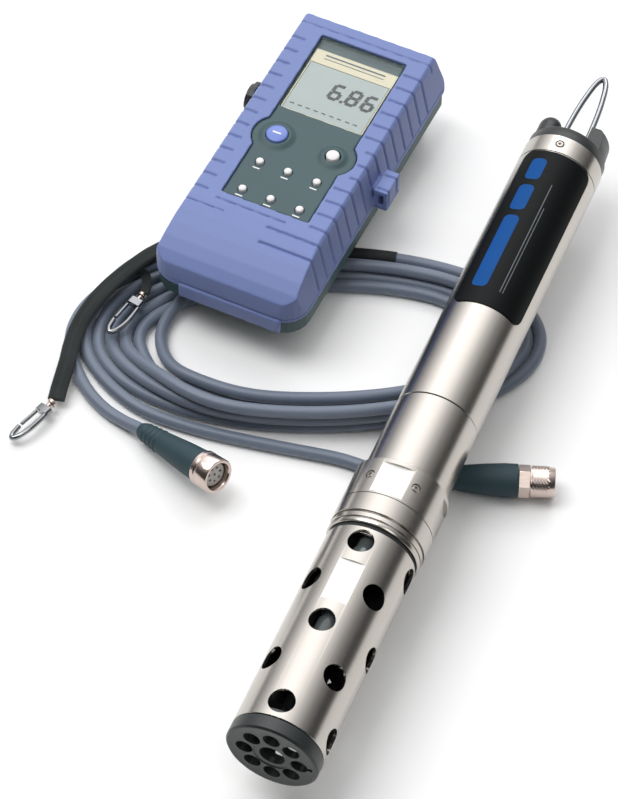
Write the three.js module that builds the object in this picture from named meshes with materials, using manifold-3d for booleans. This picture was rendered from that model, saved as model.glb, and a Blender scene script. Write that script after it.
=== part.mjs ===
// Portable water quality instrument, laid out for use: a submersible multi-sensor sonde, its hand-held
// meter in a rubber boot, the signal cable with its two plugs, and the meter's strap with snap hooks.
// Millimetres, +Z up. The sonde lies along +Y, sensor guard first; everything rests on the plane z = 0.

import Module from "manifold-3d";
import * as THREE from "three";
import { mergeVertices } from "three/addons/utils/BufferGeometryUtils.js";

// ---------------------------------------------------------------- driving dimensions

const GAP = 0.3; // clearance kept between pieces that touch

// The frame's origin is the bottom centre of the box round the sonde, the meter and the strap.
const ORIGIN = new THREE.Vector3(-90.775, 227.625, 0);

const COIL_HEIGHT = 20.4; // the loosely wound cable is three turns high
const CABLE_RADIUS = 3.35;

const BODY_RADIUS = 21.75;
const TUBE_WALL = 1.5;
const SONDE_HEIGHT = COIL_HEIGHT + GAP + BODY_RADIUS; // height of the sonde's axis
const GUARD_RADIUS = 23.25;
const GUARD_START = 7.9;
const GUARD_END = 121.2;
const GUARD_HOLE_RADIUS = 6.5;
const GUARD_HOLE_FIRST = 17;
const GUARD_HOLE_PITCH = 24;
const GUARD_HOLE_TURN = 4.6; // degrees by which the hole pattern is turned about the axis
const COLLAR_RADIUS = 24.6;
const COLLAR_START = 140.9;
const COLLAR_END = 163.8;
const FLAT_DEPTH = 1.4;
const FLAT_ANGLE = 92.5;
const SCREW_STATION = 152;
const SCREW_OFFSET = 29.2; // degrees either side of the top flat
const SEAM = 207.8;
const LABEL_START = 269.5;
const LABEL_END = 377;
const TOP_RING_START = 378.3;
const TOP_RING_END = 389.3;
const CAP_FACE = 396.6;
const BAIL_PIVOT = 404.6;

const SENSOR_CIRCLE = 13;
const SENSOR_BASE = 125.6;

const METER_CENTRE = new THREE.Vector3(-127.7, 327, COIL_HEIGHT + 0.4);
const METER_YAW = -3; // degrees about +Z
const BOOT_WALL = 2.5;
const BOOT_BASE = 9.7;
const FACE_HEIGHT = 36.2;
const PANEL_HEIGHT = 35.4;
const CASE_TOP = 33.4;
const BACK_TOP = BOOT_BASE - GAP;
const HOUSING_DEPTH = METER_CENTRE.z; // the battery housing reaches down to the ground

const COIL_CENTRE = new THREE.Vector3(-87.8, 259.6, 0);
const COIL_YAW = 22.8;
const COIL_OUTER = [122.6, 60];
const COIL_LOW = 6.8; // the turns lie side by side, one strand high, under the strap
const COIL_INNER = [80.5, 37.2];
const COIL_INNER_SHIFT = -5.8; // the open middle lies nearer the front

const rad = THREE.MathUtils.degToRad;

// ---------------------------------------------------------------- solids and meshes

const wasm = await Module();
wasm.setup();

// A geometry with shared vertices and without the zero-area triangles at a lathe's poles.
function tidy(geometry) {
  const plain = geometry.clone();
  plain.deleteAttribute("normal");
  plain.deleteAttribute("uv");
  const merged = mergeVertices(plain, 1e-4);
  const kept = [];
  const index = merged.index.array;
  for (let i = 0; i < index.length; i += 3) {
    const [a, b, c] = index.slice(i, i + 3);
    if (a !== b && b !== c && c !== a) kept.push(a, b, c);
  }
  merged.setIndex(kept);
  return merged;
}

function solid(geometry) {
  const merged = tidy(geometry);
  return new wasm.Manifold(new wasm.Mesh({
    numProp: 3,
    vertProperties: new Float32Array(merged.attributes.position.array),
    triVerts: new Uint32Array(merged.index.array),
  }));
}

function fromSolid(body) {
  const mesh = body.getMesh();
  const geometry = new THREE.BufferGeometry();
  geometry.setAttribute("position", new THREE.BufferAttribute(mesh.vertProperties, 3));
  geometry.setIndex(Array.from(mesh.triVerts));
  geometry.computeVertexNormals();
  return geometry;
}

function cut(base, tools) {
  return fromSolid(tools.reduce((body, tool) => body.subtract(solid(tool)), solid(base)));
}

function join(parts) {
  return fromSolid(parts.slice(1).reduce((body, part) => body.add(solid(part)), solid(parts[0])));
}

function common(parts) {
  return fromSolid(parts.slice(1).reduce((body, part) => body.intersect(solid(part)), solid(parts[0])));
}

const finishes = {
  steel: { color: 0xb9b7b2, roughness: 0.3, metalness: 1 },
  chrome: { color: 0xd2d4d6, roughness: 0.12, metalness: 1 },
  nickel: { color: 0xc9c2bd, roughness: 0.25, metalness: 1 },
  black: { color: 0x151a1a, roughness: 0.5, metalness: 0 },
  rubber: { color: 0x10181a, roughness: 0.8, metalness: 0 },
  boot: { color: 0x6f80bd, roughness: 0.6, metalness: 0 },
  caseDark: { color: 0x35494b, roughness: 0.55, metalness: 0 },
  white: { color: 0xe4e2df, roughness: 0.45, metalness: 0 },
  cream: { color: 0xd8d2b4, roughness: 0.5, metalness: 0 },
  glass: { color: 0xcfd6d4, roughness: 0.08, metalness: 0 },
  screen: { color: 0x98a3a3, roughness: 0.4, metalness: 0 },
  board: { color: 0x2f6b43, roughness: 0.5, metalness: 0 },
  cell: { color: 0xa0894a, roughness: 0.35, metalness: 0.6 },
  cable: { color: 0x65727f, roughness: 0.55, metalness: 0 },
  strap: { color: 0x14201d, roughness: 0.85, metalness: 0 },
  bootRubber: { color: 0x1c3a42, roughness: 0.75, metalness: 0 },
};

const materials = Object.fromEntries(
  Object.entries(finishes).map(([name, values]) => [name, new THREE.MeshStandardMaterial(values)]),
);

function piece(name, geometry, finish, parent) {
  const mesh = new THREE.Mesh(tidy(geometry), materials[finish]);
  mesh.name = name;
  parent.add(mesh);
  return mesh;
}

// ---------------------------------------------------------------- shape helpers

// A turned shape about +Y from [radius, y] points.
function turned(points, segments) {
  return new THREE.LatheGeometry(points.map(([r, y]) => new THREE.Vector2(r, y)), segments);
}

function ring(inner, outer, start, end, segments) {
  return turned([[inner, start], [outer, start], [outer, end], [inner, end], [inner, start]], segments);
}

function rod(radius, start, end, segments) {
  return turned([[0, start], [radius, start], [radius, end], [0, end]], segments);
}

function box(x, y, z) {
  const geometry = new THREE.BoxGeometry(x[1] - x[0], y[1] - y[0], z[1] - z[0]);
  return geometry.translate((x[0] + x[1]) / 2, (y[0] + y[1]) / 2, (z[0] + z[1]) / 2);
}

// A bar of round section from the axis outwards, at a station and an angle round the sonde.
function radialRod(radius, inner, outer, station, angle, segments) {
  const geometry = rod(radius, inner, outer, segments);
  geometry.rotateZ(rad(angle - 90)).rotateX(Math.PI / 2);
  return geometry.translate(0, station, 0);
}

function pillar(radius, x, y, bottom, top, segments) {
  return rod(radius, bottom, top, segments).rotateX(Math.PI / 2).translate(x, y, 0);
}

function outline(points) {
  return new THREE.Shape(points.map(([x, y]) => new THREE.Vector2(x, y)));
}

function roundedRectangle(x, y, radii) {
  const [nearLeft, nearRight, farRight, farLeft] = radii;
  const shape = new THREE.Shape();
  shape.moveTo(x[0] + nearLeft, y[0]);
  shape.lineTo(x[1] - nearRight, y[0]);
  shape.absarc(x[1] - nearRight, y[0] + nearRight, nearRight, -Math.PI / 2, 0);
  shape.lineTo(x[1], y[1] - farRight);
  shape.absarc(x[1] - farRight, y[1] - farRight, farRight, 0, Math.PI / 2);
  shape.lineTo(x[0] + farLeft, y[1]);
  shape.absarc(x[0] + farLeft, y[1] - farLeft, farLeft, Math.PI / 2, Math.PI);
  shape.lineTo(x[0], y[0] + nearLeft);
  shape.absarc(x[0] + nearLeft, y[0] + nearLeft, nearLeft, Math.PI, 1.5 * Math.PI);
  return shape;
}

function slab(shape, bottom, top, curveSegments = 6) {
  const depth = top - bottom;
  return new THREE.ExtrudeGeometry(shape, { depth, bevelEnabled: false, curveSegments })
    .translate(0, 0, bottom);
}

// A solid of round section that follows a curve.
function tube(curve, radius, sides, steps) {
  const section = new THREE.Shape();
  for (let i = 0; i < sides; i += 1) {
    const angle = (2 * Math.PI * i) / sides;
    const corner = [radius * Math.cos(angle), radius * Math.sin(angle)];
    if (i === 0) section.moveTo(...corner);
    else section.lineTo(...corner);
  }
  section.closePath();
  return new THREE.ExtrudeGeometry(section, { steps, bevelEnabled: false, extrudePath: curve });
}

function throughPoints(points) {
  return new THREE.CatmullRomCurve3(points.map((p) => new THREE.Vector3(...p)), false, "centripetal");
}

// Turns +Y of a group towards a direction.
function aim(group, from, to) {
  const direction = to.clone().sub(from).normalize();
  group.position.copy(from);
  group.quaternion.setFromUnitVectors(new THREE.Vector3(0, 1, 0), direction);
}

// ---------------------------------------------------------------- sonde

const assembly = new THREE.Group();
assembly.position.copy(ORIGIN).negate();
assembly.updateMatrixWorld();

const sonde = new THREE.Group();
sonde.position.z = SONDE_HEIGHT;
assembly.add(sonde);

function makeGuard() {
  const wall = ring(GUARD_RADIUS - TUBE_WALL, GUARD_RADIUS, GUARD_START, GUARD_END, 36);
  const holes = [];
  for (let row = 0; row < 5; row += 1) {
    const turn = GUARD_HOLE_TURN + (row % 2) * 45;
    for (let quarter = 0; quarter < 4; quarter += 1) {
      const station = GUARD_HOLE_FIRST + row * GUARD_HOLE_PITCH;
      holes.push(radialRod(GUARD_HOLE_RADIUS, 18, 26, station, turn + quarter * 90, 12));
    }
  }
  piece("sensor_guard", cut(wall, holes), "steel", sonde);

  const rim = 7.6;
  const cup = turned([[0, 0], [22.5, 0], [GUARD_RADIUS, 0.8], [GUARD_RADIUS, rim], [21.4, rim],
    [21.4, 13], [19.8, 13], [19.8, 4], [0, 4]], 30);
  const ports = [rod(6.4, -1, 6, 14)];
  for (let i = 0; i < 8; i += 1) {
    const angle = rad(45 * i);
    ports.push(rod(4.3, -1, 6, 10).translate(13.8 * Math.cos(angle), 0, 13.8 * Math.sin(angle)));
  }
  piece("guard_end_cap", cut(cup, ports), "black", sonde);
  piece("guard_o_ring", ring(21.7, 22.9, GUARD_END + GAP, 122.9, 30), "rubber", sonde);
}

function makeCollar() {
  const nose = turned([[20, 118.5], [21.4, 118.5], [21.4, 123.2], [23.6, 123.2], [24.1, 123.9], [24.1, 125.6],
    [23.3, 125.6], [23.3, 126.6], [24.1, 126.6], [24.1, 129.1], [23.3, 129.1], [23.3, 130.1],
    [COLLAR_RADIUS, 130.1], [COLLAR_RADIUS, COLLAR_START - GAP], [20, COLLAR_START - GAP], [20, 118.5]], 30);
  piece("collar_nose_ring", nose, "steel", sonde);

  const boreStart = 155.5;
  const shoulder = turned([[20, COLLAR_START], [COLLAR_RADIUS, COLLAR_START], [COLLAR_RADIUS, 162.4],
    [22.9, COLLAR_END], [22.05, COLLAR_END], [22.05, boreStart], [20, boreStart], [20, COLLAR_START]], 30);
  const cuts = [];
  for (let side = 0; side < 4; side += 1) {
    const flat = box([COLLAR_RADIUS - FLAT_DEPTH, 30], [142, 160], [-15, 15]);
    cuts.push(flat.rotateY(-rad(FLAT_ANGLE + side * 90)));
  }
  for (const side of [-1, 1]) {
    const angle = FLAT_ANGLE + side * SCREW_OFFSET;
    cuts.push(radialRod(2.4, 22.6, 30, SCREW_STATION, angle, 12));
    const screw = turned([[0, 22.9], [2.0, 22.9], [2.0, 24.2], [1.5, 24.7], [0, 24.7]], 10);
    screw.rotateZ(rad(angle - 90)).rotateX(Math.PI / 2).translate(0, SCREW_STATION, 0);
    piece(side < 0 ? "collar_screw_right" : "collar_screw_left", screw, "steel", sonde);
  }
  piece("collar_block", cut(shoulder, cuts), "steel", sonde);
}

// Each sensor stands on the head plate: its place on the circle, its tip station and its outline.
function makeSensors() {
  piece("sensor_head_plate", rod(19.7, 126, 134, 28), "steel", sonde);
  const shapes = {
    dissolved_oxygen_sensor: { place: null, tip: 22, radii: [4.6, 5.4, 5.4], finish: "black" },
    ph_sensor: { place: 90, tip: 30, radii: [2.6, 3.2, 4.1], finish: "glass" },
    orp_sensor: { place: 150, tip: 34, radii: [1.8, 3.2, 4.1], finish: "black" },
    conductivity_cell: { place: 210, tip: 27, radii: [4.1, 4.1, 4.1], finish: "black" },
    turbidity_cell: { place: 270, tip: 46, radii: [3.4, 4.1, 4.1], finish: "black" },
    temperature_probe: { place: 330, tip: 40, radii: [1.2, 1.7, 2.4], finish: "steel" },
  };
  for (const [name, { place, tip, radii, finish }] of Object.entries(shapes)) {
    const [nose, waist, base] = radii;
    const body = turned([[0, tip], [nose * 0.7, tip], [nose, tip + 2], [nose, tip + 14], [waist, tip + 16],
      [waist, 98], [base, 100], [base, SENSOR_BASE], [0, SENSOR_BASE]], 10);
    if (place !== null) {
      body.translate(SENSOR_CIRCLE * Math.cos(rad(place)), 0, SENSOR_CIRCLE * Math.sin(rad(place)));
    }
    piece(name, body, finish, sonde);
  }
}

function makeBarrel() {
  const inner = BODY_RADIUS - TUBE_WALL;
  piece("lower_body_tube", ring(inner, BODY_RADIUS, 156, SEAM - GAP / 2, 36), "steel", sonde);
  piece("upper_body_tube", ring(inner, BODY_RADIUS, SEAM + GAP / 2, TOP_RING_START - GAP, 36), "steel", sonde);
  piece("tube_joiner", ring(18.6, inner - GAP, SEAM - 10, SEAM + 10, 24), "black", sonde);

  const board = [box([-15, 15], [225, 345], [-0.8, 0.8]), box([-9, 3], [240, 256], [0.5, 4]),
    box([-8, 8], [275, 291], [0.5, 3.2]), box([2, 12], [305, 325], [0.5, 5])];
  piece("sonde_circuit_board", join(board), "board", sonde);

  const film = new THREE.Shape();
  film.absarc(0, 0, BODY_RADIUS + 0.55, rad(29), rad(137), false);
  film.absarc(0, 0, BODY_RADIUS + 0.25, rad(137), rad(29), true);
  const label = slab(film, 0, LABEL_END - LABEL_START, 14).rotateX(Math.PI / 2);
  piece("label_film", label.translate(0, LABEL_END, 0), "black", sonde);
}

function makeTop() {
  const plug = BODY_RADIUS - TUBE_WALL - GAP;
  const band = turned([[18, 370.5], [plug, 370.5], [plug, TOP_RING_START], [BODY_RADIUS, TOP_RING_START],
    [BODY_RADIUS, TOP_RING_END], [18, TOP_RING_END], [18, 370.5]], 36);
  piece("top_ring", cut(band, [radialRod(2.1, 20.4, 26, 383.8, 92, 12)]), "steel", sonde);
  const screw = turned([[0, 20.7], [1.7, 20.7], [1.7, 21.5], [1.3, 21.9], [0, 21.9]], 10);
  screw.rotateZ(rad(2)).rotateX(Math.PI / 2).translate(0, 383.8, 0);
  piece("top_ring_screw", screw, "steel", sonde);

  const disc = turned([[0, 380], [17.7, 380], [17.7, TOP_RING_END + GAP], [21.3, TOP_RING_END + GAP],
    [21.3, CAP_FACE - 1.2], [20.4, CAP_FACE], [0, CAP_FACE]], 36);
  const earShape = turned([[0, 392], [21.2, 392], [20.2, 409.5], [18.6, 411.5], [0, 411.5]], 36);
  const ear = common([earShape, box([8.4, 25], [393, 420], [-11.5, 11.5])]);
  const boss = box([-4, 4], [395, 408], [-4.6, 4.6]);
  const pinHole = rod(1.95, -6, 6, 12).rotateZ(Math.PI / 2).translate(0, BAIL_PIVOT, 0);
  piece("top_cap", fromSolid(solid(join([disc, ear, boss])).subtract(solid(pinHole))), "black", sonde);

  const receptacle = turned([[0, CAP_FACE + GAP], [6, CAP_FACE + GAP], [6, 398.4], [4.9, 398.4], [4.9, 410.5],
    [3.9, 410.5], [3.9, 404], [0, 404]], 16).translate(-14.4, 0, 0);
  piece("cable_receptacle", receptacle, "nickel", sonde);
  const cover = turned([[5.2, 398.8], [6.2, 398.8], [6.2, 412.5], [5.2, 415.8], [3, 417.8], [0, 418.3],
    [0, 412], [5.2, 412], [5.2, 398.8]], 18).translate(-14.4, 0, 0);
  piece("receptacle_cap", cover, "black", sonde);

  const foot = 1.2;
  const half = 5.9;
  const loop = throughPoints([[-foot, BAIL_PIVOT, 0], [-half + 1.2, BAIL_PIVOT, 0], [-half, BAIL_PIVOT + 1.6, 0],
    [-half - 0.2, BAIL_PIVOT + 14, 0], [-4.6, 438, 0], [-2.2, 450.5, 0], [0, 453.8, 0], [2.2, 450.5, 0],
    [4.6, 438, 0], [half + 0.2, BAIL_PIVOT + 14, 0], [half, BAIL_PIVOT + 1.6, 0],
    [half - 1.2, BAIL_PIVOT, 0], [foot, BAIL_PIVOT, 0]]);
  piece("lifting_bail", tube(loop, 1.45, 8, 30), "chrome", sonde);
}

// ---------------------------------------------------------------- meter

const meter = new THREE.Group();
meter.position.copy(METER_CENTRE);
meter.rotation.z = rad(METER_YAW);
assembly.add(meter);

// The meter's wedge-sided body, shrunk evenly by an inset; bottom is where it is cut off.
function meterBody(inset, bottom, topHeight) {
  const across = outline([[-43.5 + inset, bottom], [43.5 - inset, bottom], [43.5 - inset, BOOT_BASE],
    [38.6 - inset, 34.4 - inset], [37 - inset, topHeight], [-37 + inset, topHeight],
    [-38.6 + inset, 34.4 - inset], [-43.5 + inset, BOOT_BASE]]);
  const side = new THREE.Shape();
  side.moveTo(-83 + inset, bottom);
  side.lineTo(102 - inset, bottom);
  side.lineTo(102 - inset, BOOT_BASE);
  side.lineTo(96 - inset, topHeight);
  side.lineTo(-44, topHeight);
  side.quadraticCurveTo(-70 + inset, topHeight - 1.5, -82 + inset, 24 - inset);
  side.lineTo(-83 + inset, BOOT_BASE + 6);
  const plan = roundedRectangle([-43.5 + inset, 43.5 - inset], [-83 + inset, 102 - inset], [15, 15, 5, 5]);
  const alongY = slab(across, -110, 90).rotateX(Math.PI / 2);
  const alongX = slab(side, -60, 60, 5).rotateX(Math.PI / 2).rotateZ(Math.PI / 2);
  return common([alongY, alongX, slab(plan, bottom - 1, topHeight + 1, 3)]);
}

const MODE_PLACE = [-14.1, 10.5];
const POWER_PLACE = [18.7, 9.6];
const KEY_COLUMNS = [-14.3, 1.9, 18.5];
const KEY_ROWS = [-9.3, -29.7];
const WINDOW_X = [-23.5, 26.5];

function openingTools(shrink, bottom, top) {
  const window = box([WINDOW_X[0] + shrink, WINDOW_X[1] - shrink], [-36 + shrink, 85 - shrink], [bottom, top]);
  const left = pillar(13.8 - shrink, ...MODE_PLACE, bottom, top, 24);
  const right = pillar(12.8 - shrink, ...POWER_PLACE, bottom, top, 24);
  return [window, left, right];
}

function makeBoot() {
  const shell = solid(meterBody(0, BOOT_BASE, FACE_HEIGHT)).subtract(
    solid(meterBody(BOOT_WALL, BOOT_BASE - 2, CASE_TOP + GAP)));
  const open = openingTools(0, 30, 40).reduce((body, tool) => body.subtract(solid(tool)), shell);
  const lug = join([box([43, 51], [8, 24], [10.2, 24]), box([36.5, 43.6], [10, 22], [12, 22])]);
  const lugClear = solid(lug).subtract(solid(meterBody(0.4, BOOT_BASE - 2, FACE_HEIGHT - 0.4)));
  const strapSlot = box([45.6, 48.6], [5, 27], [13, 21]);
  piece("meter_boot", fromSolid(open.add(lugClear).subtract(solid(strapSlot))), "boot", meter);
}

function makeFrontCase() {
  const inset = BOOT_WALL + GAP;
  const outer = solid(meterBody(inset, BOOT_BASE, CASE_TOP));
  const inner = solid(meterBody(inset + 2.2, BOOT_BASE - 2, 30.9));
  const panel = solid(join(openingTools(GAP, 32, PANEL_HEIGHT)));
  const bezels = [[MODE_PLACE, 10.4, 7.4], [POWER_PLACE, 8.4, 5.6]].map(([place, base, crest]) => {
    const cone = turned([[0, 34], [base, 34], [base, PANEL_HEIGHT], [crest, PANEL_HEIGHT + 1.4],
      [0, PANEL_HEIGHT + 1.4]], 20);
    return solid(cone.rotateX(Math.PI / 2).translate(...place, 0));
  });
  let body = outer.subtract(inner).add(panel);
  for (const bezel of bezels) body = body.add(bezel);
  const pocket = box([WINDOW_X[0] + 0.8, WINDOW_X[1] - 0.8], [30.5, 84.2], [32.3, 40]);
  body = body.subtract(solid(pocket));
  for (const [place, radius] of buttonPlaces()) {
    body = body.subtract(solid(pillar(radius + GAP, ...place, 20, 45, 14)));
  }
  piece("meter_front_case", fromSolid(body), "caseDark", meter);
}

function buttonPlaces() {
  const places = [[MODE_PLACE, 5.7], [POWER_PLACE, 4]];
  for (const y of KEY_ROWS) {
    for (const x of KEY_COLUMNS) places.push([[x, y], 2.1]);
  }
  return places;
}

// A button slides in its hole and is kept in by a flange under the case top.
function makeButtons() {
  const names = ["mode_button", "power_button", "key_1", "key_2", "key_3", "key_4", "key_5", "key_6"];
  buttonPlaces().forEach(([[x, y], radius], i) => {
    const top = PANEL_HEIGHT + (radius > 3 ? 2.9 : 1.7);
    const flange = radius + 1.2;
    const shape = turned([[0, 28.6], [flange, 28.6], [flange, 29.4], [radius, 29.4], [radius, top - 0.5],
      [radius - 0.5, top], [0, top]], radius > 3 ? 20 : 10);
    const finish = i === 0 ? "boot" : "white";
    piece(names[i], shape.rotateX(Math.PI / 2).translate(x, y, 0), finish, meter);
  });
}

function makeDisplay() {
  const [left, right] = [WINDOW_X[0] + 1.2, WINDOW_X[1] - 1.2];
  piece("display_window", box([left, right], [31, 83.8], [34.2, PANEL_HEIGHT]), "glass", meter);
  piece("lcd_module", box([left + 1, right - 1], [31.6, 66.9], [32.6, 33.9]), "screen", meter);
  piece("title_strip", box([left, right], [67.4, 76.8], [32.6, 33.9]), "cream", meter);
}

function makeBackCase() {
  const plan = roundedRectangle([-42.6, 42.6], [-81.6, 101], [14, 14, 5, 5]);
  const tray = slab(plan, 0, BACK_TOP, 3);
  const room = slab(roundedRectangle([-38, 38], [-77, 96], [11, 11, 3, 3]), 2.4, BACK_TOP + 2, 3);
  const housing = slab(roundedRectangle([-35, 35], [18, 95], [6, 6, 6, 6]), -HOUSING_DEPTH, 1, 3);
  const cellRoom = box([-32.4, 32.4], [24, 90], [-HOUSING_DEPTH + 2.4, -2]);
  const mouth = box([-32.4, 32.4], [24, 90], [-HOUSING_DEPTH - 1, -HOUSING_DEPTH + 3]);
  const doorWay = box([-32.4, 32.4], [40, 100], [-HOUSING_DEPTH - 1, -HOUSING_DEPTH + 2.3]);
  const shell = cut(join([tray, housing]), [room, cellRoom, mouth, doorWay]);
  piece("meter_back_case", shell, "caseDark", meter);

  const door = box([-32.1, 32.1], [24.3, 94.6], [-HOUSING_DEPTH, -HOUSING_DEPTH + 2]);
  const thumbGroove = box([-12, 12], [86, 88.6], [-HOUSING_DEPTH - 1, -HOUSING_DEPTH + 0.7]);
  piece("battery_door", cut(door, [thumbGroove]), "caseDark", meter);
  for (const [name, x] of [["battery_cell_left", -16], ["battery_cell_right", 16]]) {
    const cell = turned([[0, 29], [7, 29], [7, 79], [2.6, 79], [2.6, 80.4], [0, 80.4]], 14);
    piece(name, cell.translate(x, 0, -10), "cell", meter);
  }
  piece("meter_circuit_board", join([box([-34, 34], [-70, 90], [13, 14.6]),
    box([-20, 20], [30, 70], [14, 20]), box([-12, 8], [-40, -22], [14, 17])]), "board", meter);
}

function makeSocket() {
  const flange = turned([[0, 0], [9, 0], [9, 2.4], [7.2, 3.2], [7.2, 4.4], [4.4, 4.4], [4.4, 1.6], [0, 1.6]], 20);
  piece("meter_socket", flange.rotateZ(Math.PI / 2).translate(-43.8, 46, 14), "black", meter);
}

// ---------------------------------------------------------------- cable

const cable = new THREE.Group();
assembly.add(cable);

const FEMALE_REAR = new THREE.Vector3(-144.3, 169.4, 7);
const FEMALE_FACE = new THREE.Vector3(-90.6, 147.8, 22);
const MALE_REAR = new THREE.Vector3(-0.8, 196.6, 9.3);
const MALE_FACE = new THREE.Vector3(61.5, 218.5, 9.3);

// Where the cable is not coiled, from each plug to the coil.
const FEMALE_ROUTE = [[-144.9, 169.7, 6.8], [-152, 171.6, 4.9], [-160, 173.2, 3.6], [-168.3, 175.9, 3.4],
  [-181.2, 182.8, 3.4], [-191.6, 192.4, 3.4], [-199.8, 202.2, 3.4], [-204.9, 211.2, 3.4],
  [-207, 220.4, 3.4], [-206.9, 230, 3.4], [-204.8, 239.4, 3.4]];
const MALE_ROUTE = [[-1.4, 196.4, 9.2], [-9, 194, 8], [-18, 192.8, 5.6], [-28, 193.4, 3.9], [-40.7, 194.9, 3.4],
  [-55.8, 192.5, 3.4], [-74.8, 189.3, 3.4], [-97.4, 185.6, 3.4], [-113, 183.6, 3.4], [-127, 182.6, 3.4]];

function makeCable() {
  const coil = new THREE.Shape();
  coil.absellipse(0, 0, ...COIL_OUTER, 0, 2 * Math.PI);
  const middle = new THREE.Path();
  middle.absellipse(0, COIL_INNER_SHIFT, ...COIL_INNER, 0, 2 * Math.PI);
  coil.holes.push(middle);
  const wound = slab(coil, 0, COIL_HEIGHT, 32).rotateZ(rad(COIL_YAW)).translate(...COIL_CENTRE);
  const low = [box([-230, -168], [140, 238], [COIL_LOW, 30]), box([-230, -172], [237, 290], [COIL_LOW, 30])];
  piece("cable_coil", cut(wound, low), "cable", cable);
  piece("cable_socket_run", tube(throughPoints(FEMALE_ROUTE), CABLE_RADIUS, 8, 24), "cable", cable);
  piece("cable_plug_run", tube(throughPoints(MALE_ROUTE), CABLE_RADIUS, 8, 24), "cable", cable);
}

// The socket end: tapered boot, metal shell and the pin insert, along +Y from the cable.
function makeSocketEnd() {
  const end = new THREE.Group();
  aim(end, FEMALE_REAR, FEMALE_FACE);
  cable.add(end);
  piece("socket_boot", turned([[0, 0], [4.2, 0], [5, 2], [8.2, 34], [8.8, 44], [8.8, 46], [0, 46]], 16),
    "bootRubber", end);
  piece("socket_shell", ring(7, 9.3, 46.3, 57.8, 24), "nickel", end);
  const insert = rod(6.5, 46.5, 55, 20);
  const ports = [rod(0.7, 50, 56, 6)];
  for (let i = 0; i < 7; i += 1) {
    const angle = (2 * Math.PI * i) / 7;
    ports.push(rod(0.7, 50, 56, 6).translate(3.8 * Math.cos(angle), 0, 3.8 * Math.sin(angle)));
  }
  piece("socket_insert", cut(insert, ports), "white", end);
}

// The plug end: tapered boot, hexagonal body with its pins, and the knurled coupling ring.
function makePlugEnd() {
  const end = new THREE.Group();
  aim(end, MALE_REAR, MALE_FACE);
  cable.add(end);
  piece("plug_boot", turned([[0, 0], [4.2, 0], [5, 2], [8.3, 30], [9, 40], [9, 47], [0, 47]], 16),
    "bootRubber", end);
  const hexagon = rod(8.4, 47.3, 53, 6);
  const core = turned([[0, 52], [6, 52], [6, 64], [5.2, 64], [5.2, 56], [0, 56]], 18);
  const pins = [];
  for (let i = 0; i < 7; i += 1) {
    const angle = (2 * Math.PI * i) / 7;
    pins.push(rod(0.6, 55, 62, 6).translate(3.4 * Math.cos(angle), 0, 3.4 * Math.sin(angle)));
  }
  piece("plug_body", join([hexagon, core, ...pins]), "nickel", end);
  piece("plug_coupling_ring", turned([[6.4, 53.4], [8.2, 53.4], [8.2, 62.5], [7.6, 63], [7.6, 65.6],
    [6.4, 65.6], [6.4, 53.4]], 24), "nickel", end);
}

// ---------------------------------------------------------------- strap and hooks

function makeStrap() {
  const main = throughPoints([[-177, 267, 26.4], [-182.9, 262.6, 23], [-190.4, 254.6, 16.2], [-195.1, 244.6, 13.1],
    [-198.4, 232.5, 12.9], [-200.1, 222.5, 12.9], [-200.5, 212.4, 12.9], [-199.2, 202.3, 12.9],
    [-196.9, 192.7, 12.9], [-195.6, 184.8, 10.8], [-194.2, 176.3, 7.9], [-192.8, 170.2, 6.6]]);
  const branch = throughPoints([[-189, 256, 17.5], [-183.5, 258, 15], [-179.7, 254, 12.8], [-178.2, 249.4, 12],
    [-178, 246.6, 12]]);
  const webbing = join([tube(main, 4.6, 8, 20), tube(branch, 2.8, 8, 8)]);
  piece("carry_strap", webbing, "strap", assembly);
}

// A snap hook along +Y of its group: swivel, J-shaped body and the sprung gate that closes it.
function makeHook(tag, from, to) {
  const hook = new THREE.Group();
  aim(hook, from, to);
  assembly.add(hook);
  piece(`hook_${tag}_swivel`, turned([[0, 0], [2.6, 0], [2.6, 1.6], [1.6, 2.2], [1.6, 4.2], [0, 4.2]], 10),
    "nickel", hook);
  const eye = box([-4.4, 4.4], [4.5, 8.6], [-2, 2]);
  const jaw = throughPoints([[-3.1, 8, 0], [-3.5, 14, 0], [-3.4, 21, 0], [-1.7, 27.4, 0], [0.2, 29.4, 0],
    [1.9, 27.4, 0], [3.1, 21.6, 0]]);
  piece(`hook_${tag}_body`, join([eye, tube(jaw, 1.35, 8, 18)]), "chrome", hook);
  piece(`hook_${tag}_gate`, rod(1.05, 9.2, 20.2, 8).translate(3.1, 0, 0), "chrome", hook);
}

makeGuard();
makeCollar();
makeSensors();
makeBarrel();
makeTop();
makeBoot();
makeFrontCase();
makeButtons();
makeDisplay();
makeBackCase();
makeSocket();
makeCable();
makeSocketEnd();
makePlugEnd();
makeStrap();
makeHook("a", new THREE.Vector3(-193.6, 168.2, 6.6), new THREE.Vector3(-204.3, 139, 5));
makeHook("b", new THREE.Vector3(-178.1, 245.7, 12), new THREE.Vector3(-184.2, 215.4, 12));

export default assembly;
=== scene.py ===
"""Looks of the water quality kit: the wound signal cable, then materials and fine pieces for every node.

Lengths are metres unless a name ends in MM. Row frame: +Y along the sonde from its guard to its bail, +Z up.
"""

import math

import bmesh
import bpy
import numpy as np
from mathutils import Matrix, Vector


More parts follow.
